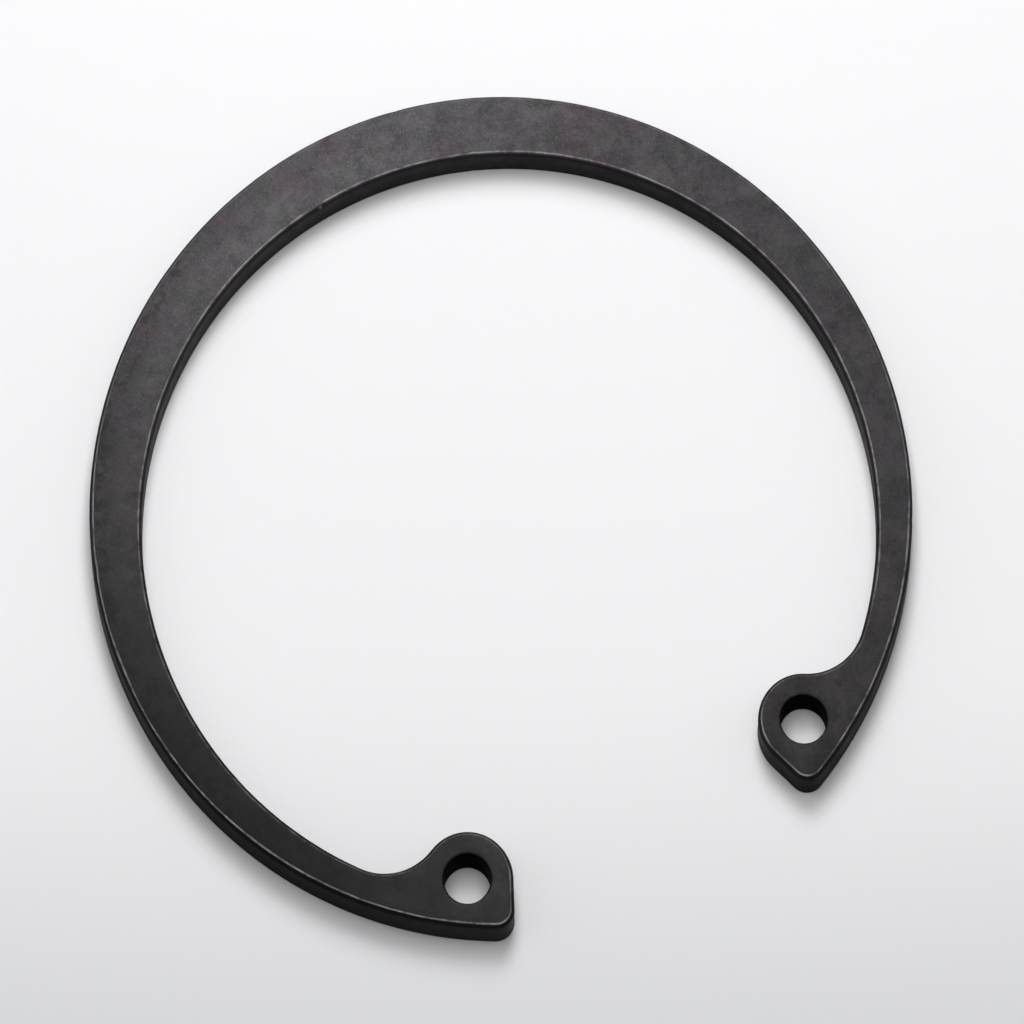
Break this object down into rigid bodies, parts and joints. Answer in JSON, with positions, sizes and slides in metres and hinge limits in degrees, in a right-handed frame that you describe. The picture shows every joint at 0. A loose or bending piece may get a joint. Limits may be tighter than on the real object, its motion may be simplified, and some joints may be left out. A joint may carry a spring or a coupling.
{
  "type": "circlip retaining ring",
  "caption": "Flat internal circlip of dark phosphated spring steel, an open ring with a plier hole in each inward lug, which snaps into a bore's groove to hold a bearing or pin.",
  "frame": {"origin": "centre of the ring's round outer edge, on its flat underside", "axes": "+Z along the ring's axis, towards the punch side with the rolled edges; -Y from the centre through the gap between the lugs; the ring is the same either side of the YZ plane"},
  "size_m": [0.0454, 0.0434, 0.0018],
  "materials": {
    "spring_steel": "dark grey-black phosphate and oil finish, matt"
  },
  "bodies": {
    "root": {"retaining_ring": "spring_steel"}
  },
  "joints": []
}
